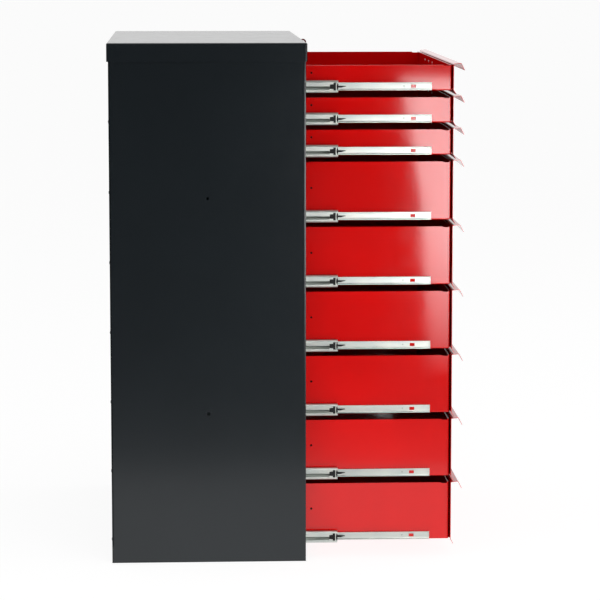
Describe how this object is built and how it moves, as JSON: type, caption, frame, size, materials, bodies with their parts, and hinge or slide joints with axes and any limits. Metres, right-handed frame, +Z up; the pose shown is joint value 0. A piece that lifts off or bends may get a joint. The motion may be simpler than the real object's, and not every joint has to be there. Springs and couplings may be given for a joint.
{
  "type": "rolling tool chest",
  "caption": "Steel tool chest with small drawers above large ones, all on full-extension ball-bearing slides, full-width pulls and a central key lock.",
  "frame": {"origin": "middle of the cabinet's footprint, on the plane that it stands on", "axes": "+Z up, -Y out of the front, where the drawers open, +X to the right as seen from the front. At rest every drawer is pulled out, as in the picture"},
  "size_m": [0.666, 0.6013, 0.882],
  "materials": {
    "cabinet_paint": "semi-gloss anthracite powder coat",
    "drawer_paint": "gloss red powder coat with faint orange peel",
    "zinc_slides": "bright zinc plate",
    "plated_lock": "bright nickel plate",
    "dark_steel": "oiled dark steel"
  },
  "bodies": {
    "cabinet": {"side_panel_left": "cabinet_paint", "side_panel_right": "cabinet_paint", "back_panel": "cabinet_paint", "lid": "cabinet_paint", "floor_pan": "cabinet_paint", "bottom_rail": "cabinet_paint", "top_rail": "cabinet_paint", "slide_ladder_left": "zinc_slides", "slide_ladder_right": "zinc_slides"},
    "drawer_1": {"drawer_1": "drawer_paint", "drawer_1_slide_left": "zinc_slides", "drawer_1_slide_right": "zinc_slides"},
    "drawer_1_middle_slides": {"drawer_1_middle_slide_left": "zinc_slides", "drawer_1_middle_slide_right": "zinc_slides"},
    "drawer_2": {"drawer_2": "drawer_paint", "drawer_2_slide_left": "zinc_slides", "drawer_2_slide_right": "zinc_slides"},
    "drawer_2_middle_slides": {"drawer_2_middle_slide_left": "zinc_slides", "drawer_2_middle_slide_right": "zinc_slides"},
    "drawer_3": {"drawer_3": "drawer_paint", "drawer_3_slide_left": "zinc_slides", "drawer_3_slide_right": "zinc_slides"},
    "drawer_3_middle_slides": {"drawer_3_middle_slide_left": "zinc_slides", "drawer_3_middle_slide_right": "zinc_slides"},
    "drawer_4": {"drawer_4": "drawer_paint", "drawer_4_slide_left": "zinc_slides", "drawer_4_slide_right": "zinc_slides"},
    "drawer_4_middle_slides": {"drawer_4_middle_slide_left": "zinc_slides", "drawer_4_middle_slide_right": "zinc_slides"},
    "drawer_5": {"drawer_5": "drawer_paint", "drawer_5_slide_left": "zinc_slides", "drawer_5_slide_right": "zinc_slides"},
    "drawer_5_middle_slides": {"drawer_5_middle_slide_left": "zinc_slides", "drawer_5_middle_slide_right": "zinc_slides"},
    "drawer_6": {"drawer_6": "drawer_paint", "drawer_6_slide_left": "zinc_slides", "drawer_6_slide_right": "zinc_slides"},
    "drawer_6_middle_slides": {"drawer_6_middle_slide_left": "zinc_slides", "drawer_6_middle_slide_right": "zinc_slides"},
    "drawer_7": {"drawer_7": "drawer_paint", "drawer_7_slide_left": "zinc_slides", "drawer_7_slide_right": "zinc_slides"},
    "drawer_7_middle_slides": {"drawer_7_middle_slide_left": "zinc_slides", "drawer_7_middle_slide_right": "zinc_slides"},
    "drawer_8": {"drawer_8": "drawer_paint", "drawer_8_slide_left": "zinc_slides", "drawer_8_slide_right": "zinc_slides"},
    "drawer_8_middle_slides": {"drawer_8_middle_slide_left": "zinc_slides", "drawer_8_middle_slide_right": "zinc_slides"},
    "drawer_9": {"drawer_9": "drawer_paint", "drawer_9_slide_left": "zinc_slides", "drawer_9_slide_right": "zinc_slides"},
    "drawer_9_middle_slides": {"drawer_9_middle_slide_left": "zinc_slides", "drawer_9_middle_slide_right": "zinc_slides"},
    "lock_plug": {"lock_barrel": "plated_lock", "key": "plated_lock", "lock_cam": "dark_steel"},
    "lock_bar": {"lock_bar": "dark_steel"}
  },
  "joints": [
    {"name": "drawer_1_travel", "type": "slide", "parent": "cabinet", "child": "drawer_1", "axis": [0, 1, 0], "range_m": [0, 0.25]},
    {"name": "drawer_1_middle_travel", "type": "slide", "parent": "cabinet", "child": "drawer_1_middle_slides", "axis": [0, 1, 0], "range_m": [0, 0.0915]},
    {"name": "drawer_2_travel", "type": "slide", "parent": "cabinet", "child": "drawer_2", "axis": [0, 1, 0], "range_m": [0, 0.25]},
    {"name": "drawer_2_middle_travel", "type": "slide", "parent": "cabinet", "child": "drawer_2_middle_slides", "axis": [0, 1, 0], "range_m": [0, 0.0915]},
    {"name": "drawer_3_travel", "type": "slide", "parent": "cabinet", "child": "drawer_3", "axis": [0, 1, 0], "range_m": [0, 0.25]},
    {"name": "drawer_3_middle_travel", "type": "slide", "parent": "cabinet", "child": "drawer_3_middle_slides", "axis": [0, 1, 0], "range_m": [0, 0.0915]},
    {"name": "drawer_4_travel", "type": "slide", "parent": "cabinet", "child": "drawer_4", "axis": [0, 1, 0], "range_m": [0, 0.25]},
    {"name": "drawer_4_middle_travel", "type": "slide", "parent": "cabinet", "child": "drawer_4_middle_slides", "axis": [0, 1, 0], "range_m": [0, 0.0915]},
    {"name": "drawer_5_travel", "type": "slide", "parent": "cabinet", "child": "drawer_5", "axis": [0, 1, 0], "range_m": [0, 0.25]},
    {"name": "drawer_5_middle_travel", "type": "slide", "parent": "cabinet", "child": "drawer_5_middle_slides", "axis": [0, 1, 0], "range_m": [0, 0.0915]},
    {"name": "drawer_6_travel", "type": "slide", "parent": "cabinet", "child": "drawer_6", "axis": [0, 1, 0], "range_m": [0, 0.25]},
    {"name": "drawer_6_middle_travel", "type": "slide", "parent": "cabinet", "child": "drawer_6_middle_slides", "axis": [0, 1, 0], "range_m": [0, 0.0915]},
    {"name": "drawer_7_travel", "type": "slide", "parent": "cabinet", "child": "drawer_7", "axis": [0, 1, 0], "range_m": [0, 0.25]},
    {"name": "drawer_7_middle_travel", "type": "slide", "parent": "cabinet", "child": "drawer_7_middle_slides", "axis": [0, 1, 0], "range_m": [0, 0.0915]},
    {"name": "drawer_8_travel", "type": "slide", "parent": "cabinet", "child": "drawer_8", "axis": [0, 1, 0], "range_m": [0, 0.25]},
    {"name": "drawer_8_middle_travel", "type": "slide", "parent": "cabinet", "child": "drawer_8_middle_slides", "axis": [0, 1, 0], "range_m": [0, 0.0915]},
    {"name": "drawer_9_travel", "type": "slide", "parent": "cabinet", "child": "drawer_9", "axis": [0, 1, 0], "range_m": [0, 0.25]},
    {"name": "drawer_9_middle_travel", "type": "slide", "parent": "cabinet", "child": "drawer_9_middle_slides", "axis": [0, 1, 0], "range_m": [0, 0.0915]},
    {"name": "key_turn", "type": "hinge", "parent": "cabinet", "child": "lock_plug", "pos_m": [0.284, -0.165, 0.862], "axis": [0, 1, 0], "range_deg": [0, 90]},
    {"name": "lock_bar_travel", "type": "slide", "parent": "cabinet", "child": "lock_bar", "axis": [0, 0, 1], "range_m": [-0.008, 0]}
  ],
  "couplings": [
    {"joint": "drawer_1_middle_travel", "follows": "drawer_1_travel", "ratio": 0.366},
    {"joint": "drawer_2_middle_travel", "follows": "drawer_2_travel", "ratio": 0.366},
    {"joint": "drawer_3_middle_travel", "follows": "drawer_3_travel", "ratio": 0.366},
    {"joint": "drawer_4_middle_travel", "follows": "drawer_4_travel", "ratio": 0.366},
    {"joint": "drawer_5_middle_travel", "follows": "drawer_5_travel", "ratio": 0.366},
    {"joint": "drawer_6_middle_travel", "follows": "drawer_6_travel", "ratio": 0.366},
    {"joint": "drawer_7_middle_travel", "follows": "drawer_7_travel", "ratio": 0.366},
    {"joint": "drawer_8_middle_travel", "follows": "drawer_8_travel", "ratio": 0.366},
    {"joint": "drawer_9_middle_travel", "follows": "drawer_9_travel", "ratio": 0.366},
    {"joint": "key_turn", "follows": "lock_bar_travel", "rad_per_m": -196.35}
  ]
}
